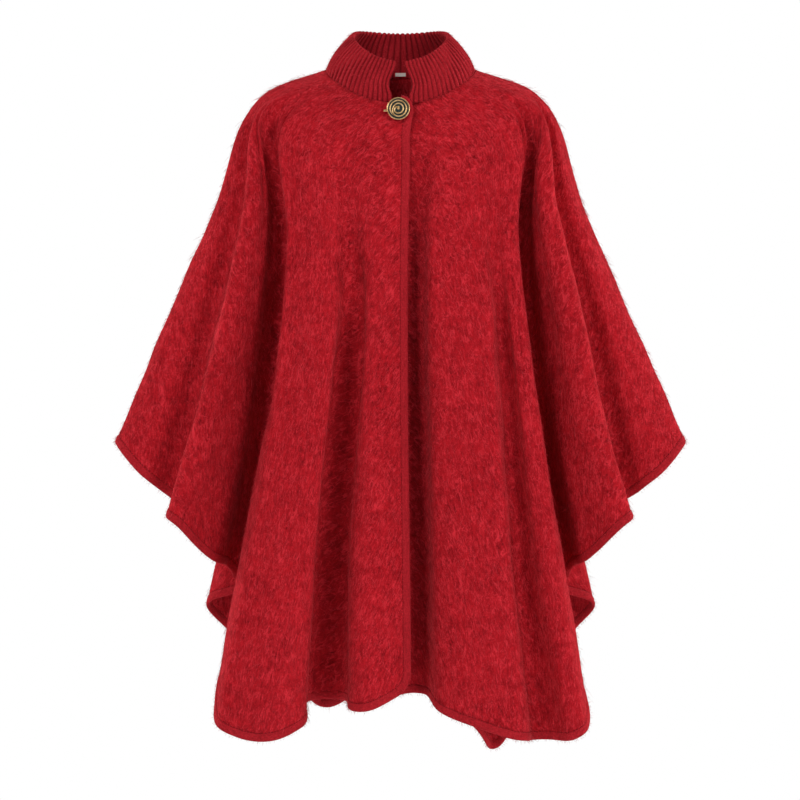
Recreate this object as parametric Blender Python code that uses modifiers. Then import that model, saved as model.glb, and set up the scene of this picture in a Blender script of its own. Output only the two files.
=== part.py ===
"""A brushed-wool cape poncho with a rib-knit stand collar, hanging as if worn.

Metres, +Z up. The front faces -Y, the wearer's left is +X. The origin is on the neck's axis, level with
the collar seam at the side of the neck. The cloth is a thick wall run through a ring of folds: each row
of the fold tables is one ridge or valley, from the neck seam over the shoulder to the hem.
"""
from collections import namedtuple
from math import cos, pi, radians, sin, sqrt

import bmesh
import bpy
import numpy as np
from mathutils import Vector

MM = 0.001

# Cloth, bindings and the gap left between pieces that touch
WALL = 2.4 * MM
GAP = 0.3 * MM
BINDING_WIDTH = 9.0 * MM
BINDING_THICK = 4.8 * MM
BINDING_GAP = 0.8 * MM
CORNER_RADIUS = 16.0 * MM

# Rings at a turn around the body: 0 is the centre front, 90 the wearer's right side, 180 the centre back
Ring = namedtuple("Ring", "half_width half_depth centre_y front_z side_z back_z")
NECK = Ring(105.0 * MM, 80.0 * MM, -12.0 * MM, -42.0 * MM, 11.0 * MM, 5.0 * MM)
YOKE = Ring(194.0 * MM, 102.0 * MM, -10.0 * MM, -108.0 * MM, -23.0 * MM, -68.0 * MM)
COLLAR_TOP = Ring(69.0 * MM, 71.0 * MM, -13.0 * MM, 17.0 * MM, 60.0 * MM, 68.0 * MM)

# Button tab: the top corner of the right front, which reaches past the neck seam
TAB_REACH = 7.0 * MM
TAB_FORWARD = 6.5 * MM
TAB_RISE = 7.0 * MM
TAB_WIDTH = 26.0 * MM
TAB_HEIGHT = 55.0 * MM

# Collar
COLLAR_WALL = 3.4 * MM
COLLAR_HEIGHT = 60.0 * MM
RIB_HEIGHT = 1.3 * MM
RIB_COUNT = 68
COLLAR_BULGE = 5.0 * MM
COLLAR_END_TURNS = (9.0, 11.0, 10.0, 6.5)

# Button
BUTTON_CENTRE = (-3.0 * MM, -53.2 * MM)
BUTTON_RADIUS = 16.3 * MM
BUTTON_TILT = 8.0
BUTTON_STAND_OFF = 2.4 * MM
SHANK_RADIUS = 3.6 * MM
BAR_RADIUS = 1.6 * MM
BAR_LENGTH = 9.0 * MM
BAR_DROP = 2.0 * MM

# Neck label
LABEL_WIDTH = 16.0 * MM
LABEL_HEIGHT = 5.0 * MM
LABEL_THICK = 0.6 * MM
LABEL_GAP = 0.8 * MM
LABEL_LEVEL = 0.03

# Fold rows, in millimetres: turn around the neck, then the point at chest level and the point on the hem.
# Under is how far the cloth is tucked behind the other front at the neck.
Fold = namedtuple("Fold", "turn chest_x chest_y chest_z hem_x hem_y hem_z under")

FRONT_RIGHT_FOLDS = [
    Fold(-1, 2, -118, -200, 6, -142, -871, 0),  # opening edge
    Fold(13, -40, -124, -200, -50, -158, -897, 0),  # ridge beside the opening
    Fold(26, -73, -115, -215, -106, -88, -887, 0),  # valley under the bust
    Fold(35, -102, -124, -215, -140, -148, -920, 0),
    Fold(42, -124, -120, -215, -182, -171, -937, 0),  # broad cone
    Fold(48, -144, -111, -225, -226, -156, -934, 0),
    Fold(53, -158, -105, -235, -257, -132, -914, 0),  # side corner of the body
]

# One wing, over the wearer's right arm. The left one is its mirror image.
WING_FOLDS = [
    Fold(57, -162, -78, -240, -250, -66, -812, 0),
    Fold(60, -163, -56, -240, -230, -30, -762, 0),
    Fold(64, -169, -42, -236, -229, -18, -724, 0),  # valley between body and arm, front
    Fold(67, -184, -45, -225, -244, -31, -700, 0),
    Fold(70, -201, -59, -212, -272, -64, -688, 0),
    Fold(74, -215, -68, -190, -318, -102, -635, 0),  # ridge on the front of the arm
    Fold(79, -232, -47, -190, -326, -53, -603, 0),
    Fold(84, -250, -33, -190, -372, -58, -564, 0),
    Fold(90, -264, -5, -189, -408, -24, -521, 0),  # arm ridge, ending in the wing tip
    Fold(97, -250, 32, -190, -368, 26, -556, 0),
    Fold(105, -222, 63, -190, -318, 76, -606, 0),  # ridge on the back of the arm
    Fold(110, -200, 59, -205, -258, 42, -646, 0),
    Fold(113, -193, 54, -210, -234, 24, -664, 0),
    Fold(117, -184, 50, -220, -222, 18, -696, 0),  # valley between body and arm, back
    Fold(121, -179, 62, -225, -234, 34, -734, 0),
    Fold(127, -176, 84, -225, -281, 76, -758, 0),  # side corner of the back
]

BACK_FOLDS = [
    Fold(135, -155, 98, -215, -246, 122, -802, 0),
    Fold(145, -124, 105, -205, -168, 102, -868, 0),
    Fold(154, -96, 109, -195, -112, 162, -914, 0),  # long right ridge
    Fold(164, -60, 108, -195, -64, 114, -892, 0),
    Fold(174, -24, 107, -195, -22, 152, -884, 0),  # ridge beside the centre back
    Fold(184, 12, 106, -195, 26, 110, -878, 0),
    Fold(194, 48, 107, -195, 70, 156, -905, 0),
    Fold(203, 80, 108, -195, 100, 118, -932, 0),
    Fold(212, 108, 108, -200, 136, 166, -976, 0),  # long left ridge
    Fold(220, 134, 104, -210, 186, 106, -900, 0),
    Fold(228, 157, 97, -215, 246, 124, -806, 0),
]

FRONT_LEFT_FOLDS = [
    Fold(308, 163, -106, -235, 263, -112, -917, 0),  # side corner of the body
    Fold(314, 146, -112, -225, 243, -134, -938, 0),
    Fold(320, 130, -111, -220, 192, -114, -940, 0),  # valley beside the long ridge
    Fold(326, 112, -124, -215, 163, -167, -936, 0),  # long ridge
    Fold(335, 78, -127, -205, 100, -156, -917, 0),
    Fold(343, 50, -122, -200, 58, -136, -901, 1),
    Fold(350, 24, -106, -200, 26, -94, -877, 6),  # valley beside the opening
    Fold(357, -4, -105, -200, -6, -99, -880, 7.5),
    Fold(363, -24, -105, -200, -26, -106, -884, 7.5),  # under edge, behind the right front
]

# Steps round the body and down the cloth over which its directions are measured
PLACE_STEP = 0.01
DOWN_STEP = 0.4 * MM

# Sections for each table row, and the shares of a column's length at which its points lie
SAMPLES_PER_FOLD = 3.5
PANEL_ROWS = (0.0, 0.05, 0.1, 0.16, 0.23, 0.32, 0.44, 0.58, 0.72, 0.86, 1.0)


def mirrored(fold):
    """The same fold on the other side of the body."""
    return fold._replace(turn=360 - fold.turn, chest_x=-fold.chest_x, hem_x=-fold.hem_x)


FOLDS = FRONT_RIGHT_FOLDS + WING_FOLDS + BACK_FOLDS
FOLDS += [mirrored(fold) for fold in reversed(WING_FOLDS)]
FOLDS += FRONT_LEFT_FOLDS
TIP_ROW = [fold.turn for fold in WING_FOLDS].index(90)
RIGHT_SEAM_ROW = len(FRONT_RIGHT_FOLDS) + TIP_ROW
LEFT_SEAM_ROW = len(FOLDS) - len(FRONT_LEFT_FOLDS) - 1 - TIP_ROW


def curve_through(knots, points, places):
    """Points at the given places on a smooth curve that passes through every point at its knot."""
    steps = np.diff(knots)
    slopes = np.diff(points, axis=0) / steps[:, None]
    tangents = np.empty_like(points)
    tangents[0] = slopes[0]
    tangents[-1] = slopes[-1]
    before = steps[:-1, None]
    after = steps[1:, None]
    tangents[1:-1] = (slopes[:-1] * after + slopes[1:] * before) / (before + after)
    span = np.clip(np.searchsorted(knots, places, side="right") - 1, 0, len(steps) - 1)
    t = ((places - knots[span]) / steps[span])[:, None]
    size = steps[span][:, None]
    return (
        (2 * t**3 - 3 * t**2 + 1) * points[span]
        + (t**3 - 2 * t**2 + t) * size * tangents[span]
        + (3 * t**2 - 2 * t**3) * points[span + 1]
        + (t**3 - t**2) * size * tangents[span + 1]
    )


def smooth_step(x):
    """0 below 0, 1 above 1, and eased between."""
    x = min(max(x, 0.0), 1.0)
    return x * x * (3 - 2 * x)


def ring_point(ring, turn):
    """A point of a tilted ring: its height passes through the front, side and back heights."""
    angle = radians(turn)
    ends = (ring.front_z + ring.back_z) / 2
    level = (ends + ring.side_z) / 2
    tilt = (ring.front_z - ring.back_z) / 2
    return np.array([
        -ring.half_width * sin(angle),
        ring.centre_y - ring.half_depth * cos(angle),
        level + tilt * cos(angle) + (ends - level) * cos(2 * angle),
    ])


class Drape:
    """The outer face of the cloth. A row place runs around the body, a length runs down from the neck."""

    def __init__(self, folds):
        table = np.array(folds, dtype=float)
        table[:, 1:] *= MM
        self.table = table
        hem = table[:, 4:7]
        gaps = np.sqrt(np.linalg.norm(np.diff(hem, axis=0), axis=1))
        self.knots = np.concatenate([[0.0], np.cumsum(gaps)])

    def place(self, row):
        """The place of a table row, which may be a fraction."""
        return float(np.interp(row, np.arange(len(self.knots)), self.knots))

    def column(self, place):
        """Knots, as lengths, and the points of the column at this place."""
        row = curve_through(self.knots, self.table, np.array([place]))[0]
        tuck = np.array([0.0, row[7], 0.0])
        points = np.array([
            ring_point(NECK, row[0]) + tuck,
            ring_point(YOKE, row[0]) + tuck,
            row[1:4],
            row[4:7],
        ])
        lengths = np.linalg.norm(np.diff(points, axis=0), axis=1)
        return np.concatenate([[0.0], np.cumsum(lengths)]), points

    def length(self, place):
        return self.column(place)[0][-1]

    def from_edge(self, place):
        """Rough distance round the neck from the right front's edge."""
        return NECK.half_width * radians(self.turn(place) - self.table[0, 0])

    def turn(self, place):
        return curve_through(self.knots, self.table[:, :1], np.array([place]))[0, 0]

    def point(self, place, down):
        knots, points = self.column(place)
        spot = curve_through(knots, points, np.array([down]))[0]
        beside = self.from_edge(place)
        if beside < 2 * TAB_WIDTH and down < TAB_HEIGHT:
            lower = smooth_step(1 - down / TAB_HEIGHT)
            near = smooth_step(1 - beside / TAB_WIDTH)
            wide = smooth_step(1 - beside / (2 * TAB_WIDTH))
            spot = spot + lower * np.array([near * TAB_REACH, -wide * TAB_FORWARD, near * TAB_RISE])
        return spot

    def across(self, place, down):
        """The unit direction round the body, at one length down."""
        way = self.point(place + PLACE_STEP, down) - self.point(place - PLACE_STEP, down)
        return way / np.linalg.norm(way)

    def normal(self, place, down):
        along = self.point(place, down + DOWN_STEP) - self.point(place, down - DOWN_STEP)
        out = np.cross(self.across(place, down), along)
        return out / np.linalg.norm(out)


DRAPE = Drape(FOLDS)


def corner_cut(distance):
    """How far a rounded corner of the panel stands back, this far from the panel's side."""
    if distance >= CORNER_RADIUS:
        return 0.0
    return CORNER_RADIUS - sqrt(CORNER_RADIUS**2 - (CORNER_RADIUS - distance) ** 2)


def collection_for(name):
    group = bpy.data.collections.new(name)
    bpy.context.scene.collection.children.link(group)
    return group


def material(name, colour, roughness, metallic=0.0):
    made = bpy.data.materials.new(name)
    made.use_nodes = True
    shader = made.node_tree.nodes["Principled BSDF"]
    shader.inputs["Base Color"].default_value = (*colour, 1.0)
    shader.inputs["Roughness"].default_value = roughness
    shader.inputs["Metallic"].default_value = metallic
    made.diffuse_color = (*colour, 1.0)
    return made


def add_object(name, mesh, look, group):
    made = bpy.data.objects.new(name, mesh)
    made.data.materials.append(look)
    group.objects.link(made)
    return made


def loft(name, sections, look, group):
    """A solid through sections, each a closed loop of points through the wall, with the two ends closed."""
    form = bmesh.new()
    loops = [[form.verts.new(point) for point in section] for section in sections]
    for near, far in zip(loops, loops[1:]):
        for i in range(len(near)):
            j = (i + 1) % len(near)
            form.faces.new((near[i], far[i], far[j], near[j]))
    for section in (loops[0], loops[-1]):
        half = len(section) // 2
        for i in range(half - 1):
            form.faces.new((section[i], section[i + 1], section[-2 - i], section[-1 - i]))
    # The same diagonals everywhere keep facing rims parallel where the cloth twists
    bmesh.ops.triangulate(form, faces=form.faces, quad_method="FIXED")
    bmesh.ops.recalc_face_normals(form, faces=form.faces)
    mesh = bpy.data.meshes.new(name)
    form.to_mesh(mesh)
    form.free()
    mesh.shade_smooth()
    return add_object(name, mesh, look, group)


def hem_speed(place):
    """Metres along the hem for each unit of place."""
    down = DRAPE.length(place)
    span = DRAPE.point(place + PLACE_STEP, down) - DRAPE.point(place - PLACE_STEP, down)
    return np.linalg.norm(span) / (2 * PLACE_STEP)


# A cloth piece between two places; edge is the place of its free opening edge, if it has one
Piece = namedtuple("Piece", "first last edge")


def piece_places(piece):
    """Places across a piece, closer together round the corner beside a free edge."""
    rows = np.interp([piece.first, piece.last], DRAPE.knots, np.arange(len(DRAPE.knots)))
    count = int((rows[1] - rows[0]) * SAMPLES_PER_FOLD)
    even = [DRAPE.place(row) for row in np.linspace(*rows, count + 1)]
    even[0] = piece.first
    even[-1] = piece.last
    if piece.edge is None:
        return even
    inward = 1 if piece.edge == piece.first else -1
    arc = [CORNER_RADIUS * (1 - cos(pi / 2 * i / 4)) / hem_speed(piece.edge) for i in range(1, 5)]
    reach = arc[-1] * 1.2
    kept = [place for place in even if place == piece.edge or abs(place - piece.edge) > reach]
    return sorted(kept + [piece.edge + inward * distance for distance in arc])


def piece_ends(piece, place):
    """The lengths at which a piece starts below the neck and stops above its hem binding."""
    cut = 0.0
    if piece.edge is not None:
        cut = corner_cut(abs(place - piece.edge) * hem_speed(piece.edge))
    return GAP + cut, DRAPE.length(place) - BINDING_WIDTH - BINDING_GAP - cut


def piece_point(piece, place, down):
    """A point of the piece's outer face, held back from a seam by half of the gap."""
    spot = DRAPE.point(place, down)
    if place == piece.edge:
        return spot
    if place == piece.first:
        return spot + DRAPE.across(place, down) * GAP / 2
    if place == piece.last:
        return spot - DRAPE.across(place, down) * GAP / 2
    return spot


def panel(name, piece, look, group):
    """A cloth panel, short of the hem by the width of its binding."""
    sections = []
    for place in piece_places(piece):
        top, bottom = piece_ends(piece, place)
        lengths = [top + (bottom - top) * share for share in PANEL_ROWS]
        outer = [piece_point(piece, place, down) for down in lengths]
        inner = [spot - DRAPE.normal(place, down) * WALL for spot, down in zip(outer, lengths)]
        sections.append(outer + inner[::-1])
    return loft(name, sections, look, group)


def binding_profile():
    """The binding's section as (outward, thickness) pairs, a strip with rounded sides."""
    half = BINDING_THICK / 2
    middle = -WALL / 2
    soft = 0.35 * BINDING_THICK
    near = BINDING_GAP
    far = BINDING_GAP + BINDING_WIDTH
    return [
        (near, middle + half - soft / 2),
        (near, middle),
        (near, middle - half + soft / 2),
        (near + soft, middle - half),
        (far - soft, middle - half),
        (far, middle),
        (far - soft, middle + half),
        (near + soft, middle + half),
    ]


def hem_route(piece):
    return [(place, piece_ends(piece, place)[1]) for place in piece_places(piece)]


def front_route(piece):
    """Round a front: from the neck seam over the top corner, down the opening edge and along the hem."""
    hem = hem_route(piece)
    if piece.edge == piece.last:
        hem = hem[::-1]
    arc = CORNER_RADIUS / hem_speed(piece.edge)
    corner = [place for place, down in hem if abs(place - piece.edge) < 1.01 * arc]
    top = [(place, piece_ends(piece, place)[0]) for place in reversed(corner)]
    start, stop = piece_ends(piece, piece.edge)
    side = [(piece.edge, start + (stop - start) * share) for share in PANEL_ROWS[1:-1]]
    return top + side + hem


def route_ways(spots):
    """The direction at each point of a route, halfway between the stretches before and after it."""
    stretches = np.diff(spots, axis=0)
    stretches /= np.linalg.norm(stretches, axis=1)[:, None]
    return np.concatenate([stretches[:1], stretches[:-1] + stretches[1:], stretches[-1:]])


def binding(name, piece, route, look, group):
    """A strip that stands out from the piece's edge, along a route of (place, down) pairs."""
    hand = -1 if piece.edge == piece.last else 1
    spots = np.array([piece_point(piece, *pair) for pair in route])
    ways = route_ways(spots)
    for end in (0, -1):
        place = route[end][0]
        if place in (piece.first, piece.last) and route[end] == (place, piece_ends(piece, place)[1]):
            ways[end] = hand * hem_way(place)
    sections = []
    for (place, down), spot, way in zip(route, spots, ways):
        normal = DRAPE.normal(place, down)
        outward = np.cross(normal, way) * hand
        outward /= np.linalg.norm(outward)
        sections.append([spot + outward * out + normal * through for out, through in binding_profile()])
    return loft(name, sections[::hand], look, group)


def hem_way(place):
    """The direction of the hem's seam line at a place."""
    after = DRAPE.point(place + PLACE_STEP, DRAPE.length(place + PLACE_STEP) - BINDING_WIDTH)
    before = DRAPE.point(place - PLACE_STEP, DRAPE.length(place - PLACE_STEP) - BINDING_WIDTH)
    return after - before


def collar_point(turn, height):
    """A point of the collar's outer face, at a share of its height above the seam."""
    low = ring_point(NECK, turn)
    high = ring_point(COLLAR_TOP, turn)
    spot = low + (high - low) * height
    angle = radians(turn)
    out = np.array([-sin(angle), -cos(angle), 0.0])
    return spot + out * COLLAR_BULGE * 4 * height * (1 - height)


def collar_normal(turn, height):
    step = 0.5
    lift = 0.02
    across = collar_point(turn + step, height) - collar_point(turn - step, height)
    up = collar_point(turn, height + lift) - collar_point(turn, height - lift)
    out = np.cross(up, across)
    return out / np.linalg.norm(out)


def collar(look, group):
    """A ribbed stand collar, open at the front: ribs raised on the outer face over a plain inside."""
    heights = (0.0, 0.33, 0.67, 1.0)
    seam = 2 * GAP / COLLAR_HEIGHT
    sections = []
    for i in range(2 * RIB_COUNT + 1):
        share = i / (2 * RIB_COUNT)
        raised = RIB_HEIGHT if i % 2 else 0.0
        outer = []
        inner = []
        for height, end_turn in zip(heights, COLLAR_END_TURNS):
            turn = end_turn + (360 - 2 * end_turn) * share
            level = max(height, seam)
            spot = collar_point(turn, level)
            normal = collar_normal(turn, level)
            outer.append(spot + normal * raised)
            inner.append(spot - normal * COLLAR_WALL)
        sections.append(outer + inner[::-1])
    return loft("collar", sections, look, group)


def turned(name, profile, look, group, steps=36):
    """A turned solid about its own Z from (radius, height) pairs, down the outer side."""
    mesh = bpy.data.meshes.new(name)
    edges = [(i, i + 1) for i in range(len(profile) - 1)]
    mesh.from_pydata([(radius, 0.0, height) for radius, height in profile], edges, [])
    made = add_object(name, mesh, look, group)
    screw = made.modifiers.new("turn", "SCREW")
    screw.steps = steps
    screw.render_steps = steps
    screw.use_merge_vertices = True
    screw.merge_threshold = 0.00001
    screw.use_normal_calculate = True
    return made


def button_profile():
    """A shallow domed disc with three raised rings, from the centre of the face to the centre of the back."""
    face = [(0.0, 5.6), (2.4, 5.6), (3.3, 4.4), (4.8, 5.4), (6.4, 5.4), (7.6, 4.2), (9.3, 5.0), (11.4, 4.9)]
    rim = [(12.9, 3.4), (14.4, 4.3), (15.6, 3.9), (16.3, 2.4), (15.6, 0.8), (13.0, 0.0), (0.0, 0.0)]
    return [(radius * MM, height * MM) for radius, height in face + rim]


def cloth_depth(start, facing, reach):
    """How far back from a point the right front's cloth lies, within reach of the line through it."""
    places = np.linspace(DRAPE.knots[0], DRAPE.place(1.5), 30)
    spots = [DRAPE.point(place, down) for place in places for down in np.linspace(0.0, TAB_HEIGHT, 50)]
    depths = []
    for spot in spots:
        offset = Vector(spot) - start
        depth = -offset.dot(facing)
        if (offset + depth * facing).length < reach:
            depths.append(depth)
    return min(depths)


def place_button(metal, group):
    """The button, its shank and the short bar that shows beside it."""
    x, z = BUTTON_CENTRE
    facing = Vector((0.0, -cos(radians(BUTTON_TILT)), sin(radians(BUTTON_TILT))))
    turn = facing.to_track_quat("Z", "Y").to_euler()
    start = Vector((x, NECK.centre_y - NECK.half_depth, z)) + 2 * BUTTON_RADIUS * facing
    proud = (BINDING_THICK - WALL) / 2
    back = start - facing * (cloth_depth(start, facing, BUTTON_RADIUS) - proud - BUTTON_STAND_OFF)
    button = turned("button", button_profile(), metal, group)
    button.rotation_euler = turn
    button.location = back

    length = cloth_depth(back, facing, SHANK_RADIUS) - 2 * GAP
    bpy.ops.mesh.primitive_cylinder_add(vertices=16, radius=SHANK_RADIUS, depth=length)
    shank = bpy.context.object
    shank.name = "button_shank"
    shank.data.materials.append(metal)
    move_to(shank, group)
    shank.rotation_euler = turn
    shank.location = back - facing * (GAP + length / 2)

    bpy.ops.mesh.primitive_cylinder_add(vertices=12, radius=BAR_RADIUS, depth=BAR_LENGTH)
    bar = bpy.context.object
    bar.name = "button_bar"
    bar.data.materials.append(metal)
    move_to(bar, group)
    bar.rotation_euler = (0.0, pi / 2, 0.0)
    bar.location = back - facing * (GAP + BAR_RADIUS) + Vector((-BUTTON_RADIUS, 0.0, -BAR_DROP))


def move_to(made, group):
    for owner in made.users_collection:
        owner.objects.unlink(made)
    group.objects.link(made)


def neck_label(look, group):
    """A blank strip on the inside of the back neck, moved in from the collar's inner face."""
    sections = []
    width_turn = LABEL_WIDTH / NECK.half_width
    for i in range(7):
        turn = 180 + (i / 6 - 0.5) * width_turn * 180 / pi
        spots = []
        for depth in (COLLAR_WALL + LABEL_GAP, COLLAR_WALL + LABEL_GAP + LABEL_THICK):
            column = []
            for share in (0.0, 0.5, 1.0):
                height = LABEL_LEVEL + share * LABEL_HEIGHT / COLLAR_HEIGHT
                column.append(collar_point(turn, height) - collar_normal(turn, height) * depth)
            spots.append(column)
        sections.append(spots[0] + spots[1][::-1])
    return loft("neck_label", sections, look, group)


def clear_scene():
    for old in list(bpy.data.objects):
        bpy.data.objects.remove(old, do_unlink=True)


def main():
    clear_scene()
    group = collection_for("poncho")
    wool = material("brushed_wool", (0.47, 0.016, 0.024), 0.95)
    trim = material("wool_binding", (0.40, 0.013, 0.02), 0.95)
    knit = material("rib_knit", (0.44, 0.014, 0.022), 0.92)
    brass = material("antique_brass", (0.42, 0.33, 0.17), 0.38, 1.0)
    tape = material("label_tape", (0.55, 0.5, 0.45), 0.8)

    right_seam = DRAPE.place(RIGHT_SEAM_ROW)
    left_seam = DRAPE.place(LEFT_SEAM_ROW)
    right = Piece(DRAPE.knots[0], right_seam, DRAPE.knots[0])
    left = Piece(left_seam, DRAPE.knots[-1], DRAPE.knots[-1])
    middle = Piece(right_seam, left_seam, None)
    panel("front_right", right, wool, group)
    panel("front_left", left, wool, group)
    panel("back", middle, wool, group)
    binding("binding_front_right", right, front_route(right), trim, group)
    binding("binding_front_left", left, front_route(left), trim, group)
    binding("binding_back", middle, hem_route(middle), trim, group)
    collar(knit, group)
    place_button(brass, group)
    neck_label(tape, group)


main()
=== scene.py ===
"""A brushed-wool cape poncho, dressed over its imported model.

Metres, +Z up, front to -Y, the wearer's left to +X. The fold rows and the drape are the part's own, so every
piece lies on the solid that it stands for. The creases, swells and ripples are finer than the solids show.
"""
from collections import namedtuple
from math import cos, pi, radians, sin

import bmesh
import bpy
import numpy as np
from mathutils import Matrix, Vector


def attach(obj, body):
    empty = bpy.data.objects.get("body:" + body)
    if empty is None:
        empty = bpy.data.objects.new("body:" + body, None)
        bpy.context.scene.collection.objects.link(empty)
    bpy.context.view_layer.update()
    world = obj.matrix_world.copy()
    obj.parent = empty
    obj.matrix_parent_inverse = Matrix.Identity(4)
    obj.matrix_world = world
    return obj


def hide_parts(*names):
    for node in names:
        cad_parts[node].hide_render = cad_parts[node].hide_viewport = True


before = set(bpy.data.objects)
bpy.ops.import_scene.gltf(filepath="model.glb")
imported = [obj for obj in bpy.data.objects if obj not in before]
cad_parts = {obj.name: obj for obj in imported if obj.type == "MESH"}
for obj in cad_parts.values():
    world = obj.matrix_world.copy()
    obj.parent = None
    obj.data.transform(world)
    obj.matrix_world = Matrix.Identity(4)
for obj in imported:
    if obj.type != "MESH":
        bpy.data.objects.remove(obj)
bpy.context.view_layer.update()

MM = 0.001
ROOT = "root"

# Cloth and bindings, and the gaps at the neck, at the seams and above the hem binding
WALL = 2.4 * MM
GAP = 0.3 * MM
SEAM_GAP = 0.04 * MM
BINDING_WIDTH = 9.0 * MM
BINDING_THICK = 4.8 * MM
BINDING_GAP = 0.8 * MM
CORNER_RADIUS = 16.0 * MM
# The outer half of the rolled binding's section, in millimetres past the cloth's edge and shares of its half
# thickness, and its unevenness as two waves: a share, a length and a phase
BINDING_HALF_OUTLINE = [
    (-1.9, 0.0), (-1.6, 0.55), (-0.4, 0.78), (1.2, 0.98), (3.4, 1.04), (6.0, 1.0), (8.2, 0.82), (9.5, 0.45),
    (9.9, 0.0),
]
BINDING_WAVES = [(0.05, 11.0 * MM, 0.0), (0.04, 4.7 * MM, 1.0)]

# Rings at a turn around the body: 0 is the centre front, 90 the wearer's right side, 180 the centre back
Ring = namedtuple("Ring", "half_width half_depth centre_y front_z side_z back_z")
NECK = Ring(105.0 * MM, 80.0 * MM, -12.0 * MM, -42.0 * MM, 11.0 * MM, 5.0 * MM)
YOKE = Ring(194.0 * MM, 102.0 * MM, -10.0 * MM, -108.0 * MM, -23.0 * MM, -68.0 * MM)
COLLAR_TOP = Ring(69.0 * MM, 71.0 * MM, -13.0 * MM, 17.0 * MM, 60.0 * MM, 68.0 * MM)

# Button tab: the top corner of the right front, which reaches past the neck seam
TAB_REACH = 7.0 * MM
TAB_FORWARD = 6.5 * MM
TAB_RISE = 2.5 * MM
TAB_WIDTH = 26.0 * MM
TAB_HEIGHT = 55.0 * MM

# Collar: its double layer, how far it bulges, and the shares of its height at which it starts and turns over
COLLAR_WALL = 3.4 * MM
COLLAR_HEIGHT = 60.0 * MM
COLLAR_BULGE = 5.0 * MM
COLLAR_FOOT = -0.02
COLLAR_CREST = 0.985
# Half of the collar's thickness in a groove, how far a rib rises from it, and the bead beside the opening
RIB_COUNT = 68
RIB_GROOVE = 1.1 * MM
RIB_HEIGHT = 2.3 * MM
BEAD_RADIUS = 3.1 * MM
# The turn of the collar's plain ends, in degrees, and the ribs over which the opening's outline fades
COLLAR_END = 5.4
COLLAR_BEND = 2.6
# How much closer the ribs stand at the front, and how much wider at the back
RIB_SPREAD = 0.19
# The ribs lie flat behind the label: degrees to each side, the level it reaches, and their half thickness
LABEL_TURNS = 6.0
LABEL_LEVEL = 0.14
LABEL_PRESS = 2.2 * MM
# How far from the centre front the collar's ends stand, in degrees, at shares of its height
COLLAR_END_TURNS = (6.0, 6.8, 8.8, 10.2, 9.4, 7.2, 5.0, 4.9)
COLLAR_END_HEIGHTS = (0.0, 0.2, 0.3, 0.41, 0.58, 0.73, 0.88, 1.0)

# Button: the middle of its back, and how far its face tips up in degrees
BUTTON_BACK = (-3.0 * MM, -105.679 * MM, -51.278 * MM)
BUTTON_TILT = 8.0
# Its ground and its boss as rings of (radius, height), and its raised brass, all in millimetres on its own axes
BUTTON_OUTLINE = [
    (3.0, 3.9), (6.0, 3.9), (9.0, 3.7), (12.0, 3.4), (14.2, 3.0), (15.3, 2.8), (15.9, 2.2), (16.0, 1.5),
    (15.5, 0.6), (13.0, 0.0), (6.0, 0.0),
]
BOSS_OUTLINE = [(0.9, 5.35), (1.6, 4.9), (1.9, 4.2), (1.9, 3.6)]
RIM_RADIUS = 15.4
RIM_LEVEL = 3.0
RIM_HALF_WIDTH = 0.85
RIM_RISE = 1.1
RIM_SAMPLES = 96
SPIRAL_RADIUS = 11.7
SPIRAL_FOOT = 3.55
SPIRAL_CLIMB = 0.9
SPIRAL_HALF_WIDTH = 1.05
SPIRAL_TURNS = 2.55
SPIRAL_START = 1.35 * pi
SPIRAL_SAMPLES = 200
BEAD_SIDES = 12
# How much the spiral closes in over a turn, and its steps: after how many turns, over how many, and how far
SPIRAL_CLOSING = 0.5
SPIRAL_STEPS = [(0.92, 0.34, 3.9), (2.0, 0.4, 4.2)]

# Stitches: how far apart, how far inside the bound edge and how far off the cloth they lie, and their size
STITCH_SPACING = 4.6 * MM
STITCH_INSET = 1.9 * MM
STITCH_PROUD = 0.25 * MM
STITCH_LENGTH = 3.1 * MM
STITCH_WIDTH = 0.8 * MM

# Fold rows, in millimetres: turn around the neck, then the point at chest level and the point on the hem.
# Under is how far the cloth is tucked behind the other front at the neck.
Fold = namedtuple("Fold", "turn chest_x chest_y chest_z hem_x hem_y hem_z under")

FRONT_RIGHT_FOLDS = [Fold(*row) for row in [
    (-1, 2, -118, -200, 6, -142, -871, 0),  # opening edge
    (13, -40, -124, -200, -50, -158, -897, 0),  # ridge beside the opening
    (26, -73, -115, -215, -106, -88, -887, 0),  # valley under the bust
    (35, -102, -124, -215, -140, -148, -920, 0),
    (42, -124, -120, -215, -182, -171, -937, 0),  # broad cone
    (48, -144, -111, -225, -226, -156, -934, 0),
    (53, -158, -105, -235, -257, -132, -914, 0),  # side corner of the body
]]

# One wing, over the wearer's right arm. The left one is its mirror image.
WING_FOLDS = [Fold(*row) for row in [
    (57, -162, -78, -240, -250, -66, -812, 0),
    (60, -163, -56, -240, -230, -30, -762, 0),
    (64, -169, -42, -236, -229, -18, -724, 0),  # valley between body and arm, front
    (67, -184, -45, -225, -244, -31, -700, 0),
    (70, -201, -59, -212, -272, -64, -688, 0),
    (74, -215, -68, -190, -318, -102, -635, 0),  # ridge on the front of the arm
    (79, -232, -47, -190, -326, -53, -603, 0),
    (84, -250, -33, -190, -372, -58, -564, 0),
    (90, -264, -5, -189, -408, -24, -521, 0),  # arm ridge, ending in the wing tip
    (97, -250, 32, -190, -368, 26, -556, 0),
    (105, -222, 63, -190, -318, 76, -606, 0),  # ridge on the back of the arm
    (110, -200, 59, -205, -258, 42, -646, 0),
    (113, -193, 54, -210, -234, 24, -664, 0),
    (117, -184, 50, -220, -222, 18, -696, 0),  # valley between body and arm, back
    (121, -179, 62, -225, -234, 34, -734, 0),
    (127, -176, 84, -225, -281, 76, -758, 0),  # side corner of the back
]]

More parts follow.
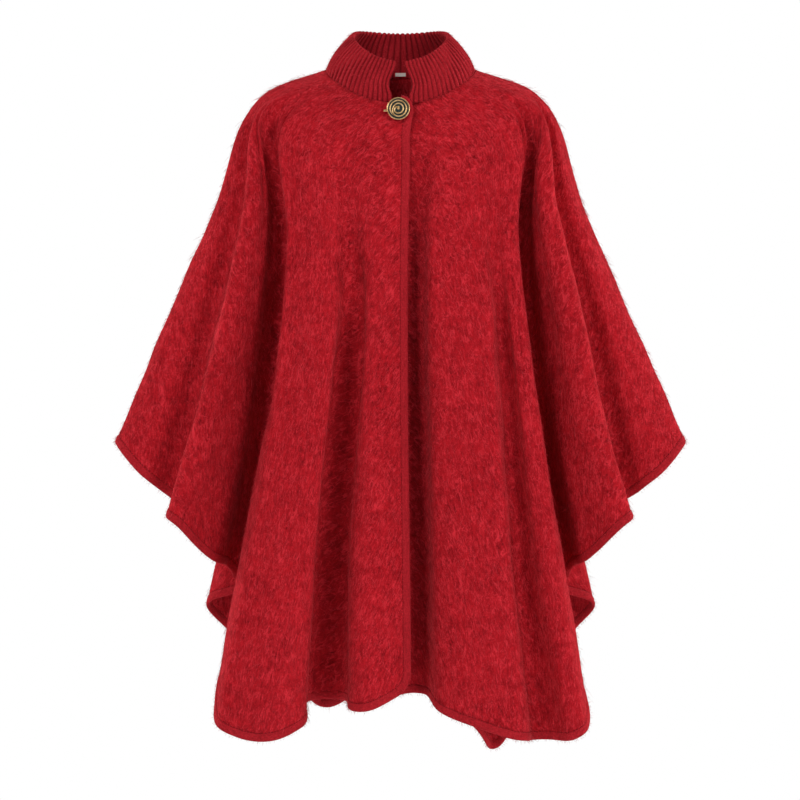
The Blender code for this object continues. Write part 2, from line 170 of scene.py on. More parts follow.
BACK_FOLDS = [Fold(*row) for row in [
    (135, -155, 98, -215, -246, 122, -802, 0),
    (145, -124, 105, -205, -168, 102, -868, 0),
    (154, -96, 109, -195, -112, 162, -914, 0),  # long right ridge
    (164, -60, 108, -195, -64, 114, -892, 0),
    (174, -24, 107, -195, -22, 152, -884, 0),  # ridge beside the centre back
    (184, 12, 106, -195, 26, 110, -878, 0),
    (194, 48, 107, -195, 70, 156, -905, 0),
    (203, 80, 108, -195, 100, 118, -932, 0),
    (212, 108, 108, -200, 136, 166, -976, 0),  # long left ridge
    (220, 134, 104, -210, 186, 106, -900, 0),
    (228, 157, 97, -215, 246, 124, -806, 0),
]]

FRONT_LEFT_FOLDS = [Fold(*row) for row in [
    (308, 163, -106, -235, 263, -112, -917, 0),  # side corner of the body
    (314, 146, -112, -225, 243, -134, -938, 0),
    (320, 130, -111, -220, 192, -114, -940, 0),  # valley beside the long ridge
    (326, 112, -124, -215, 163, -167, -936, 0),  # long ridge
    (335, 78, -127, -205, 100, -156, -917, 0),
    (343, 50, -122, -200, 58, -136, -901, 1),
    (350, 24, -106, -200, 26, -94, -877, 6),  # valley beside the opening
    (357, -4, -105, -200, -6, -99, -880, 7.5),
    (363, -24, -105, -200, -26, -106, -884, 7.5),  # under edge, behind the right front
]]

# Soft secondary creases: the fold row they follow at the top and at the foot, half width in rows, the shares
# of the cloth's length between which they show, and their height in millimetres, hollow where negative
Crease = namedtuple("Crease", "row foot_row half_width top foot height")

CREASES = [Crease(*row) for row in [
    # The right front: the deep fold beside the opening, and the body's side corner
    (1.30, 1.30, 0.5, 0.34, 1.4, 6.0),
    (1.78, 1.80, 0.5, 0.30, 1.4, -9.0),
    (1.96, 2.06, 0.7, 0.14, 1.4, -9.0),
    (2.08, 2.34, 0.7, 0.30, 1.4, -17.0),
    (2.9, 3.2, 0.7, 0.10, 0.66, 2.4),
    (3.5, 4.4, 0.6, 0.42, 0.99, -2.2),
    (4.7, 5.3, 0.6, 0.16, 0.80, 2.2),
    (5.6, 5.6, 0.6, 0.06, 1.4, 4.5),
    # The wearer's right wing
    (6.6, 6.6, 0.6, 0.01, 0.64, -16.0),
    (7.3, 7.3, 0.9, 0.01, 1.4, -14.0),
    (8.6, 8.6, 1.2, 0.01, 1.4, -13.0),
    (10.6, 10.8, 1.0, 0.05, 1.4, 12.0),
    (11.6, 11.8, 0.9, 0.10, 1.4, 12.0),
    (13.2, 13.1, 0.9, 0.12, 1.2, -7.0),
    (14.7, 14.6, 0.7, 0.12, 0.95, 4.0),
    (14.4, 14.2, 0.7, 0.30, 0.97, 2.8),
    (17.2, 17.0, 0.9, 0.22, 0.80, -2.8),
    (20.2, 20.3, 1.4, 0.06, 1.4, -12.0),
    # The back
    (22.6, 22.9, 0.9, 0.12, 0.55, 2.8),
    (24.4, 24.1, 0.8, 0.30, 1.2, -5.6),
    (25.5, 25.8, 0.6, 0.16, 0.72, 2.2),
    (26.3, 26.2, 0.7, 0.28, 1.2, -6.4),
    (28.2, 28.1, 0.8, 0.20, 1.2, -7.0),
    (30.3, 30.4, 0.8, 0.24, 1.2, -6.0),
    (31.4, 31.2, 0.6, 0.30, 0.90, 2.6),
    (32.4, 32.3, 0.7, 0.34, 1.2, -6.6),
    (34.2, 34.0, 0.9, 0.18, 0.64, 2.6),
    # The wearer's left wing
    (35.8, 35.7, 1.4, 0.06, 1.4, -12.0),
    (39.1, 39.3, 0.8, 0.26, 0.82, -2.6),
    (41.9, 41.8, 0.7, 0.24, 0.96, 2.4),
    (43.0, 43.0, 0.7, 0.10, 1.2, -16.0),
    (44.6, 44.5, 1.2, 0.08, 1.4, 16.0),
    (45.6, 45.4, 0.8, 0.08, 1.4, 10.0),
    (47.4, 47.4, 1.2, 0.01, 1.4, -16.0),
    (48.9, 48.8, 0.9, 0.01, 1.4, -14.0),
    # The left front: its side corner, the slope beside the long ridge, and the tuck behind the opening
    (50.3, 50.4, 0.8, 0.08, 1.4, 4.0),
    (51.7, 51.8, 0.7, 0.24, 1.4, -12.0),
    (52.8, 52.8, 0.5, 0.20, 1.4, 5.0),
    (54.6, 54.3, 0.6, 0.48, 0.99, 2.0),
    (56.1, 56.2, 1.2, 0.10, 1.6, -14.0),
]]

# Shares of the cloth's length over which a crease fades in and out, and how far it sways aside, in rows
CREASE_FADE_IN = 0.18
CREASE_FADE_OUT = 0.2
CREASE_SWAY = 0.12

# Soft swells over the chest and the hollow under the bust: row, half width in rows, the share of the cloth's
# length at its middle, its half length as a share, and its height in millimetres
SWELLS = [
    (3.2, 3.0, 0.15, 0.10, 3.5), (3.0, 3.0, 0.29, 0.10, -5.0), (53.4, 2.9, 0.15, 0.10, 3.5),
    (53.2, 3.0, 0.28, 0.10, -4.5),
]

# Slow unevenness of the cloth: waves around the body, waves down it, a phase, and a height in millimetres
RIPPLES = [(21, 2.0, 0.4, 0.75), (34, 3.3, 2.1, 0.55), (13, 4.6, 4.0, 0.65), (47, 5.9, 5.2, 0.35)]

# Steps round the body and down the cloth over which its directions are measured
PLACE_STEP = 0.01
DOWN_STEP = 0.4 * MM

# How finely the pieces are made
PANEL_COLUMNS = 10
PANEL_ROWS = 116
BINDING_COLUMNS = 12
OPENING_ROWS = 150
CORNER_STEPS = 8
COLLAR_LEVELS = 20
RIB_SAMPLES = 8
COLLAR_END_STEPS = 10

# Loose hairs: how many to a square metre, their lengths, how far they lift off and how much they scatter
Hairs = namedtuple("Hairs", "density shortest longest lift scatter")
NAP = Hairs(36500.0, 6.0 * MM, 20.0 * MM, 0.3, 0.28)
BINDING_FUZZ = Hairs(70000.0, 3.0 * MM, 8.0 * MM, 0.9, 0.28)
COLLAR_FUZZ = Hairs(60000.0, 3.0 * MM, 8.0 * MM, 0.8, 0.5)
HAIR_WIDTH = 0.34 * MM
# How thickly they grow on the inner face of the cloth and of the collar, where the outer face has 1
INNER_NAP = 0.15
INNER_FUZZ = 0.4

# Camera and floor, in metres, and the lens and its sensor in millimetres
CAMERA_PLACE = (-0.0007, -6.0, -0.4615)
CAMERA_LENS = 188.2
CAMERA_SENSOR = 36.0
FLOOR_RADIUS = 3.9
FLOOR_HEIGHT = -1.45

# The grey of the room's own light, the point that the lights face, their distance from it and their side in
# metres, and for each its turn from the front and its rise in degrees, and its power in watts
AMBIENT = 0.02
MIDDLE_OF_VIEW = (0.0, 0.0, -0.45)
LIGHT_DISTANCE = 5.4
LIGHT_SIZE = 1.5
LIGHTS = [
    ("left_front", -32.0, 28.0, 106.0),
    ("left_side", -80.0, 8.0, 56.0),
    ("right_front", 38.0, 14.0, 108.0),
    ("right_side", 80.0, 8.0, 70.0),
    ("above", 16.0, 64.0, 62.0),
    ("back_right", 120.0, 22.0, 205.0),
    ("back_left", -120.0, 22.0, 205.0),
]


def mirrored(fold):
    """The same fold on the other side of the body."""
    return fold._replace(turn=360 - fold.turn, chest_x=-fold.chest_x, hem_x=-fold.hem_x)


FOLDS = FRONT_RIGHT_FOLDS + WING_FOLDS + BACK_FOLDS
FOLDS += [mirrored(fold) for fold in reversed(WING_FOLDS)]
FOLDS += FRONT_LEFT_FOLDS
TIP_ROW = [fold.turn for fold in WING_FOLDS].index(90)
RIGHT_SEAM_ROW = len(FRONT_RIGHT_FOLDS) + TIP_ROW
LEFT_SEAM_ROW = len(FOLDS) - len(FRONT_LEFT_FOLDS) - 1 - TIP_ROW


# ---- The drape, worked out for many columns at once


def curves_through(knots, points, places):
    """Smooth curves through points (columns, knots, axes), each read at its own places (columns, places)."""
    steps = np.diff(knots, axis=1)
    slopes = np.diff(points, axis=1) / steps[..., None]
    before = steps[:, :-1, None]
    after = steps[:, 1:, None]
    inner = (slopes[:, :-1] * after + slopes[:, 1:] * before) / (before + after)
    tangents = np.concatenate([slopes[:, :1], inner, slopes[:, -1:]], axis=1)
    span = (places[..., None] >= knots[:, None, 1:-1]).sum(axis=-1)
    rows = np.arange(len(knots))[:, None]
    size = steps[rows, span][..., None]
    t = (places - knots[rows, span])[..., None] / size
    return (
        (2 * t**3 - 3 * t**2 + 1) * points[rows, span]
        + (t**3 - 2 * t**2 + t) * size * tangents[rows, span]
        + (3 * t**2 - 2 * t**3) * points[rows, span + 1]
        + (t**3 - t**2) * size * tangents[rows, span + 1]
    )


def smooth_step(x):
    """0 below 0, 1 above 1, and eased between."""
    x = np.clip(x, 0.0, 1.0)
    return x * x * (3 - 2 * x)


def ring_points(ring, turn):
    """Points of a tilted ring: its height passes through the front, side and back heights."""
    angle = np.radians(turn)
    ends = (ring.front_z + ring.back_z) / 2
    level = (ends + ring.side_z) / 2
    tilt = (ring.front_z - ring.back_z) / 2
    return np.stack(
        [
            -ring.half_width * np.sin(angle),
            ring.centre_y - ring.half_depth * np.cos(angle),
            level + tilt * np.cos(angle) + (ends - level) * np.cos(2 * angle),
        ],
        axis=-1,
    )


def unit(vectors):
    return vectors / np.linalg.norm(vectors, axis=-1, keepdims=True)


def run_along(line):
    """How far along a line each of its points lies."""
    return np.concatenate([[0.0], np.cumsum(np.linalg.norm(np.diff(line, axis=0), axis=1))])


def swelling(distance, half_width):
    """1 in the middle, and eased to 0 a half width away."""
    return 0.5 + 0.5 * np.cos(pi * np.clip(np.abs(distance) / half_width, 0, 1))


class Drape:
    """The outer face of the cloth. A place runs around the body, a length runs down from the neck."""

    def __init__(self, folds):
        self.table = np.array(folds, dtype=float)
        self.table[:, 1:] *= MM
        gaps = np.sqrt(np.linalg.norm(np.diff(self.table[:, 4:7], axis=0), axis=1))
        self.knots = np.concatenate([[0.0], np.cumsum(gaps)])
        self.rows = np.arange(len(self.knots), dtype=float)

    def place(self, row):
        return np.interp(row, self.rows, self.knots)

    def row(self, place):
        return np.interp(place, self.knots, self.rows)

    def columns(self, places):
        """For each place: its table values, and the knots and points of its column."""
        values = curves_through(self.knots[None], self.table[None], places[None])[0]
        tuck = np.zeros((len(places), 3))
        tuck[:, 1] = values[:, 7]
        points = np.stack(
            [
                ring_points(NECK, values[:, 0]) + tuck,
                ring_points(YOKE, values[:, 0]) + tuck,
                values[:, 1:4],
                values[:, 4:7],
            ],
            axis=1,
        )
        lengths = np.linalg.norm(np.diff(points, axis=1), axis=2)
        knots = np.concatenate([np.zeros((len(places), 1)), np.cumsum(lengths, axis=1)], axis=1)
        return values, knots, points

    def lengths(self, places):
        return self.columns(places)[1][:, -1]

    def points(self, places, downs):
        """Points (places, downs) of the smooth drape, with the button tab's lift."""
        values, knots, points = self.columns(places)
        spots = curves_through(knots, points, downs)
        beside = (NECK.half_width * np.radians(values[:, 0] - self.table[0, 0]))[:, None]
        lower = smooth_step(1 - downs / TAB_HEIGHT)
        near = smooth_step(1 - beside / TAB_WIDTH) * lower
        wide = smooth_step(1 - beside / (2 * TAB_WIDTH)) * lower
        return spots + np.stack([near * TAB_REACH, -wide * TAB_FORWARD, near * TAB_RISE], axis=-1)

    def across(self, places, downs):
        return unit(self.points(places + PLACE_STEP, downs) - self.points(places - PLACE_STEP, downs))

    def normals(self, places, downs):
        along = self.points(places, downs + DOWN_STEP) - self.points(places, downs - DOWN_STEP)
        return unit(np.cross(self.across(places, downs), along))


DRAPE = Drape(FOLDS)


def crease_heights(places, downs):
    """How far the creases and the slow unevenness stand off the smooth drape."""
    row = DRAPE.row(places)[:, None]
    share = downs / DRAPE.lengths(places)[:, None]
    height = np.zeros_like(downs)
    for crease in CREASES:
        middle = crease.row + (crease.foot_row - crease.row) * share
        middle = middle + CREASE_SWAY * np.sin(9 * share + crease.row)
        fade = smooth_step((share - crease.top) / CREASE_FADE_IN)
        fade = fade * smooth_step((crease.foot - share) / CREASE_FADE_OUT)
        height += crease.height * MM * swelling(row - middle, crease.half_width) * fade
    for middle, half_width, level, half_length, size in SWELLS:
        height += size * MM * swelling(row - middle, half_width) * swelling(share - level, half_length)
    round_body = 2 * pi * places[:, None] / DRAPE.knots[-1]
    for waves, runs, phase, size in RIPPLES:
        drift = phase + 1.7 * np.sin(runs * share * 2.2 + phase)
        height += size * MM * np.sin(waves * round_body + drift) * np.sin(runs * 2 * pi * share + phase * 1.9)
    # The cloth lies smooth at the edge of the right front and below the neck
    return height * smooth_step((row - 0.2) / 0.8) * smooth_step((downs - 0.03) / 0.09)


def cloth(places, downs):
    """The cloth's outer face with its creases, and the smooth drape's normals."""
    normals = DRAPE.normals(places, downs)
    return DRAPE.points(places, downs) + normals * crease_heights(places, downs)[..., None], normals


def hem_speeds(places):
    """Metres along the hem for each unit of place."""
    downs = DRAPE.lengths(places)[:, None]
    span = DRAPE.points(places + PLACE_STEP, downs) - DRAPE.points(places - PLACE_STEP, downs)
    return np.linalg.norm(span[:, 0], axis=1) / (2 * PLACE_STEP)


# A cloth piece between two places; edge is the place of its free opening edge, if it has one
Piece = namedtuple("Piece", "first last edge")
RIGHT_SEAM = float(DRAPE.place(RIGHT_SEAM_ROW))
LEFT_SEAM = float(DRAPE.place(LEFT_SEAM_ROW))
RIGHT = Piece(0.0, RIGHT_SEAM, 0.0)
LEFT = Piece(LEFT_SEAM, float(DRAPE.knots[-1]), float(DRAPE.knots[-1]))
MIDDLE = Piece(RIGHT_SEAM, LEFT_SEAM, None)


def piece_places(piece, samples):
    """Places across a piece, closer together round the corner beside a free edge."""
    first, last = DRAPE.row(np.array([piece.first, piece.last]))
    places = DRAPE.place(np.linspace(first, last, int((last - first) * samples) + 1))
    places[0] = piece.first
    places[-1] = piece.last
    if piece.edge is None:
        return places
    inward = 1 if piece.edge == piece.first else -1
    steps = np.arange(1, CORNER_STEPS + 1) / CORNER_STEPS
    arc = CORNER_RADIUS * (1 - np.cos(pi / 2 * steps)) / hem_speeds(np.array([piece.edge]))
    far = np.abs(places - piece.edge)
    kept = places[(far < 1e-9) | (far > 1.1 * arc[-1])]
    return np.sort(np.concatenate([kept, piece.edge + inward * arc]))


def corner_cuts(piece, places):
    """How far the rounded corners beside a free edge stand back."""
    if piece.edge is None:
        return np.zeros_like(places)
    speed = hem_speeds(np.array([piece.edge]))
    inside = np.clip(CORNER_RADIUS - np.abs(places - piece.edge) * speed, 0, CORNER_RADIUS)
    return CORNER_RADIUS - np.sqrt(CORNER_RADIUS**2 - inside**2)


def piece_ends(piece, places):
    """The lengths at which a piece starts below the neck and stops above its hem binding."""
    cuts = corner_cuts(piece, places)
    return GAP + cuts, DRAPE.lengths(places) - BINDING_WIDTH - BINDING_GAP - cuts


def seam_shift(piece, places, downs):
    """Half of the gap at a seam, as a step back into the piece."""
    side = np.zeros(len(places))
    if piece.edge != piece.first:
        side[np.abs(places - piece.first) < 1e-9] = 1
    if piece.edge != piece.last:
        side[np.abs(places - piece.last) < 1e-9] = -1
    return DRAPE.across(places, downs) * (side * SEAM_GAP / 2)[:, None, None]


# ---- Meshes


def add_object(name, data):
    made = bpy.data.objects.new(name, data)
    bpy.context.scene.collection.objects.link(made)
    return made


def new_object(name, points, faces, look=None, smooth=True):
    mesh = bpy.data.meshes.new(name)
    mesh.from_pydata(np.asarray(points, dtype=float).reshape(-1, 3).tolist(), [], faces)
    mesh.validate()
    mesh.polygons.foreach_set("use_smooth", [smooth] * len(mesh.polygons))
    mesh.update()
    if look is not None:
        mesh.materials.append(look)
    return add_object(name, mesh)


def tube_faces(sections, around, capped=True, joined=False):
    """Quads between closed sections. The two ends are capped, left open, or joined to make a ring."""
    faces = []
    for i in range(sections if joined else sections - 1):
        n = (i + 1) % sections
        for j in range(around):
            k = (j + 1) % around
            faces.append((i * around + j, n * around + j, n * around + k, i * around + k))
    if capped:
        faces.append(tuple(range(around)))
        faces.append(tuple((sections - 1) * around + j for j in reversed(range(around))))
    return faces


def volume(mesh):
    """The signed volume inside a closed mesh."""
    mesh.calc_loop_triangles()
    points = np.empty(len(mesh.vertices) * 3)
    mesh.vertices.foreach_get("co", points)
    corners = np.empty(len(mesh.loop_triangles) * 3, dtype=np.int32)
    mesh.loop_triangles.foreach_get("vertices", corners)
    a, b, c = points.reshape(-1, 3)[corners.reshape(-1, 3)].transpose(1, 0, 2)
    return (np.cross(a, b) * c).sum() / 6


def face_outwards(made):
    if volume(made.data) < 0:
        made.data.flip_normals()


def add_attribute(made, name, kind, values):
    attribute = made.data.attributes.new(name, kind, "POINT")
    attribute.data.foreach_set("vector" if kind == "FLOAT_VECTOR" else "value", np.ravel(values))


def add_uv(made, flat):
    """A UV map in metres from one (u, v) pair for each point."""
    layer = made.data.uv_layers.new(name="cloth")
    corners = np.empty(len(made.data.loops), dtype=np.int32)
    made.data.loops.foreach_get("vertex_index", corners)
    layer.data.foreach_set("uv", np.asarray(flat).reshape(-1, 2)[corners].ravel())


def flat_cut(piece, places, downs):
    """Each point's place on the flat cloth, as a fan about a point above the neck."""
    length = DRAPE.lengths(places).mean()
    hem = hem_speeds(places)
    run = np.concatenate([[0.0], np.cumsum((hem[1:] + hem[:-1]) / 2 * np.diff(places))])
    top = DRAPE.points(places, np.zeros((len(places), 1)))[:, 0]
    neck = np.linalg.norm(np.diff(top, axis=0), axis=1).sum()
    start = length * neck / (run[-1] - neck)
    turn = run / (length + start)
    turn = turn - turn.mean()
    radius = downs + start
    return np.stack([radius * np.sin(turn)[:, None], -radius * np.cos(turn)[:, None]], axis=-1)


def nap_angles(places, downs):
    """How far the brushed fibres lean from straight down: feathered along the folds, and uneven."""
    row = DRAPE.row(places)[:, None]
    angle = 0.42 * np.sin(2 * pi * row / 2.9 + 5.2 * downs)
    angle = angle + 0.34 * np.sin(9.1 * downs + 1.9 * row) * np.sin(23.7 * downs - 1.1 * row + 2.0)
    return angle + 0.22 * np.sin(51.0 * downs + 3.3 * row)


def panel(name, piece, look):
    """A cloth panel as one closed wall, with its creases, its flat cut as UV and the nap's direction."""
    places = piece_places(piece, PANEL_COLUMNS)
    tops, bottoms = piece_ends(piece, places)
    shares = np.linspace(0, 1, PANEL_ROWS)
    downs = tops[:, None] + (bottoms - tops)[:, None] * shares
    outer, normals = cloth(places, downs)
    shift = seam_shift(piece, places, downs)
    outer = outer + shift
    inner = outer - normals * WALL
    sections = np.concatenate([outer, inner[:, ::-1]], axis=1)
    count = sections.shape[1]
    faces = tube_faces(len(places), count, capped=False)
    half = count // 2
    for base, backwards in ((0, False), ((len(places) - 1) * count, True)):
        for j in range(half - 1):
            face = (base + j, base + j + 1, base + count - 2 - j, base + count - 1 - j)
            faces.append(face[::-1] if backwards else face)
    made = new_object(name, sections, faces, look)
    face_outwards(made)

    flat = flat_cut(piece, places, downs)
    add_uv(made, np.concatenate([flat, flat[:, ::-1]], axis=1))
    along = unit(np.gradient(outer, axis=1))
    side = DRAPE.across(places, downs)
    angle = nap_angles(places, downs)[..., None]
    ways = unit(along * np.cos(angle) + side * np.sin(angle))
    add_attribute(made, "nap_way", "FLOAT_VECTOR", np.concatenate([ways, ways[:, ::-1]], axis=1))
    share = np.ones_like(downs)
    add_attribute(made, "nap_share", "FLOAT", np.concatenate([share, INNER_NAP * share], axis=1))
    return made


def route_pairs(piece):
    """The binding's route as (place, down) pairs along the cloth's edge, evenly spaced."""
    places = piece_places(piece, BINDING_COLUMNS)
    tops, bottoms = piece_ends(piece, places)
    hem = np.stack([places, bottoms], axis=1)
    if piece.edge is None:
        return hem
    if piece.edge == piece.last:
        hem = hem[::-1]
        tops = tops[::-1]
        places = places[::-1]
    near = np.abs(places - piece.edge) * hem_speeds(np.array([piece.edge])) < 1.01 * CORNER_RADIUS
    corner = np.stack([places[near], tops[near]], axis=1)[::-1]
    side = np.linspace(corner[-1, 1], hem[0, 1], OPENING_ROWS)[1:-1]
    return np.concatenate([corner, np.stack([np.full(len(side), piece.edge), side], axis=1), hem])


def route_points(piece, pairs):
    places = pairs[:, 0]
    downs = pairs[:, 1:]
    spots, normals = cloth(places, downs)
    spots = spots + seam_shift(piece, places, downs)
    return spots[:, 0], normals[:, 0]


def binding(name, piece, look):
    """A rolled strip along the piece's free edges, a little uneven as felted wool is."""
    hand = -1 if piece.edge == piece.last else 1
    spots, normals = route_points(piece, route_pairs(piece))
    ways = unit(np.diff(spots, axis=0))
    ways = np.concatenate([ways[:1], ways[:-1] + ways[1:], ways[-1:]])
    outwards = unit(np.cross(normals, ways) * hand)
    run = run_along(spots)
    swell = 1 + sum(share * np.sin(run / length + phase) for share, length, phase in BINDING_WAVES)
    under = [(out, -through) for out, through in reversed(BINDING_HALF_OUTLINE)]
    sections = []
    for out, through in BINDING_HALF_OUTLINE[1:] + under[1:]:
        proud = BINDING_THICK / 2 * through * swell[:, None] - WALL / 2
        sections.append(spots + outwards * (out * MM) + normals * proud)
    sections = np.stack(sections, axis=1)
    made = new_object(name, sections, tube_faces(len(spots), sections.shape[1]), look)
    face_outwards(made)
    around = np.linspace(0, 0.03, sections.shape[1])
    add_uv(made, np.stack(np.meshgrid(run, around, indexing="ij"), axis=-1))
    ways = np.repeat(unit(0.4 * unit(ways) + outwards)[:, None], sections.shape[1], axis=1)
    add_attribute(made, "nap_way", "FLOAT_VECTOR", ways)
    add_attribute(made, "nap_share", "FLOAT", np.ones(sections.shape[:2]))
    return made


def collar_points(turn, height):
    """Points of the collar's outer face, at shares of its height above the seam."""
    low = ring_points(NECK, turn)
    high = ring_points(COLLAR_TOP, turn)
    angle = np.radians(turn)
    out = np.stack([-np.sin(angle), -np.cos(angle), np.zeros_like(angle)], axis=-1)
    return low + (high - low) * height[..., None] + out * (COLLAR_BULGE * 4 * height * (1 - height))[..., None]


def collar_normals(turn, height):
    across = collar_points(turn + 0.5, height) - collar_points(turn - 0.5, height)
    up = collar_points(turn, height + 0.02) - collar_points(turn, height - 0.02)
    return unit(np.cross(up, across))


def rib_radii(along, level):
    """Half the collar's thickness: plump ribs, and a rolled bead as wide as a rib beside the opening."""
    inward = smooth_step((np.minimum(along, RIB_COUNT - along) - 1) / 2)
    sway = inward * (0.14 * np.sin(5.0 * level + along * 0.61) + 0.08 * np.sin(11.0 * level + along * 1.43))
    ribs = RIB_GROOVE + RIB_HEIGHT * np.abs(np.sin(pi * (along + sway))) ** 0.75
    beside = np.clip(np.minimum(along, RIB_COUNT - along), 0, 1)
    bead = BEAD_RADIUS * np.sqrt(np.clip(1 - (2 * beside - 1) ** 2, 0.004, 1))
    return np.where(beside < 1, np.where(beside < 0.5, bead, np.maximum(bead, RIB_GROOVE)), ribs)


def collar(name, look):
    """The ribbed stand collar: a double layer, its ribs turned over the top, open in a keyhole at the front."""
    ends = 0.5 * (1 - np.cos(pi * np.arange(COLLAR_END_STEPS) / COLLAR_END_STEPS))
    along = np.concatenate([ends, np.arange(1, RIB_COUNT - 1, 1 / RIB_SAMPLES), RIB_COUNT - ends[::-1]])
    rise = np.linspace(COLLAR_FOOT, COLLAR_CREST, COLLAR_LEVELS)
    over = pi * np.arange(1, COLLAR_END_STEPS) / COLLAR_END_STEPS
    levels = np.concatenate([rise, np.full(len(over), COLLAR_CREST), rise[::-1]])
    sides = np.concatenate([np.ones(COLLAR_LEVELS), np.cos(over), -np.ones(COLLAR_LEVELS)])
    lifts = np.concatenate([np.zeros(COLLAR_LEVELS), np.sin(over), np.zeros(COLLAR_LEVELS)])
    along, level = np.meshgrid(along, levels, indexing="ij")
    beside = np.minimum(along, RIB_COUNT - along)
    # The top corners beside the opening are rounded
    corner = 1 - np.sqrt(np.clip(1 - (1 - np.clip(beside / 0.9, 0, 1)) ** 2, 0, 1))
    level = level * (1 - 0.10 * corner)
    # The opening's outline bends only the ribs near it
    end = np.interp(level, COLLAR_END_HEIGHTS, COLLAR_END_TURNS)
    bend = (end - COLLAR_END) * np.exp(-beside / COLLAR_BEND)
    way = along / RIB_COUNT
    turn = COLLAR_END + (360 - 2 * COLLAR_END) * (way - RIB_SPREAD * np.sin(2 * pi * way) / (2 * pi))
    turn = turn + np.where(along < RIB_COUNT / 2, bend, -bend)
    normals = collar_normals(turn, level)
    up = unit(collar_points(turn, level + 0.02) - collar_points(turn, level - 0.02))
    middle = collar_points(turn, level) - normals * (COLLAR_WALL / 2)
    half = rib_radii(along, level)
    pressed = (sides < 0) & (np.abs(turn - 180) < LABEL_TURNS) & (level < LABEL_LEVEL)
    half = np.where(pressed, np.minimum(half, LABEL_PRESS), half)
    sections = middle + normals * (half * sides)[..., None] + up * (half * lifts)[..., None]
    made = new_object(name, sections, tube_faces(len(sections), len(levels)), look)
    face_outwards(made)
    add_uv(made, np.stack([along, level * COLLAR_HEIGHT], axis=-1))
    down = -up + 0.5 * unit(np.gradient(middle, axis=0))
    add_attribute(made, "nap_way", "FLOAT_VECTOR", unit(down))
    add_attribute(made, "nap_share", "FLOAT", np.where(sides > -0.5, 1.0, INNER_FUZZ) * np.ones_like(along))
    return made


# ---- Node trees


class Value:
    """A socket that can be used in sums, which add its Math nodes."""

    def __init__(self, tree, socket):
        self.tree = tree
        self.socket = socket

    def maths(self, operation, *others):
        return self.tree.node("ShaderNodeMath", {"operation": operation}, (self, *others))

    def __add__(self, other):
        return self.maths("ADD", other)

    __radd__ = __add__

    def __sub__(self, other):
        return self.maths("SUBTRACT", other)

    def __rsub__(self, other):
        return self.tree.node("ShaderNodeMath", {"operation": "SUBTRACT"}, (other, self))

    def __mul__(self, other):
        return self.maths("MULTIPLY", other)

    __rmul__ = __mul__

    def __truediv__(self, other):
        return self.maths("DIVIDE", other)

    def clipped(self):
        return self.maths("MAXIMUM", 0.0).maths("MINIMUM", 1.0)

    def stretch(self, low, high):
        """0 at low and 1 at high, held between."""
        return ((self - low) / (high - low)).clipped()

    def from_half(self):
        """How far the value is from a half, either way."""
        return (self - 0.5).maths("ABSOLUTE")


class Tree:
    """A node tree that is written as calls: node() takes a type, its settings and its sockets' values."""

    def __init__(self, tree):
        self.nodes = tree.nodes
        self.links = tree.links

    def node(self, kind, settings=None, values=(), output=0):
        made = self.nodes.new(kind)
        for key, value in (settings or {}).items():
            setattr(made, key, value)
        for key, value in values.items() if isinstance(values, dict) else enumerate(values):
            socket = made.inputs[key]
            if isinstance(value, Value):
                self.links.new(value.socket, socket)
            else:
                socket.default_value = value
        return Value(self, made.outputs[output])

    def mix(self, share, first, second):
        """A mix of two colours."""
        return self.node("ShaderNodeMix", {"data_type": "RGBA"}, {0: share, 6: first, 7: second}, output=2)

    def noise(self, where, scale, detail=2.0, roughness=0.5, distortion=0.0):
        values = {
            "Vector": where, "Scale": scale, "Detail": detail, "Roughness": roughness,
            "Distortion": distortion,
        }
        return self.node("ShaderNodeTexNoise", {}, values)

    def mapped(self, where, turn=0.0, scale=(1, 1, 1), shift=(0, 0, 0)):
        values = {"Vector": where, "Location": shift, "Rotation": (0, 0, turn), "Scale": scale}
        return self.node("ShaderNodeMapping", {}, values)

    def on_cloth(self):
        """The place on the piece's flat cut, from its UV map."""
        return self.node("ShaderNodeTexCoord", output=2)

    def in_space(self):
        """The place in space, from Object coordinates."""
        return self.node("ShaderNodeTexCoord", output=3)

    def attribute(self, name, kind="FLOAT_VECTOR"):
        return self.node("GeometryNodeInputNamedAttribute", {"data_type": kind}, {"Name": name})

    def added(self, first, second):
        return self.node("ShaderNodeVectorMath", {"operation": "ADD"}, {0: first, 1: second})

    def scaled(self, vector, size):
        return self.node("ShaderNodeVectorMath", {"operation": "SCALE"}, {0: vector, "Scale": size})

    def chance(self, low, high, seed):
        """A random number between two, or a random vector between two vectors."""
        if isinstance(low, tuple):
            kind, values, output = "FLOAT_VECTOR", {0: low, 1: high}, 0
        else:
            kind, values, output = "FLOAT", {2: low, 3: high}, 1
        return self.node("FunctionNodeRandomValue", {"data_type": kind}, {**values, "Seed": seed}, output)


# The share of a wool's fibres above which they turn pale, and the height of a knit stitch
PALE_FROM = 0.7
STITCH_RISE = 3.4 * MM


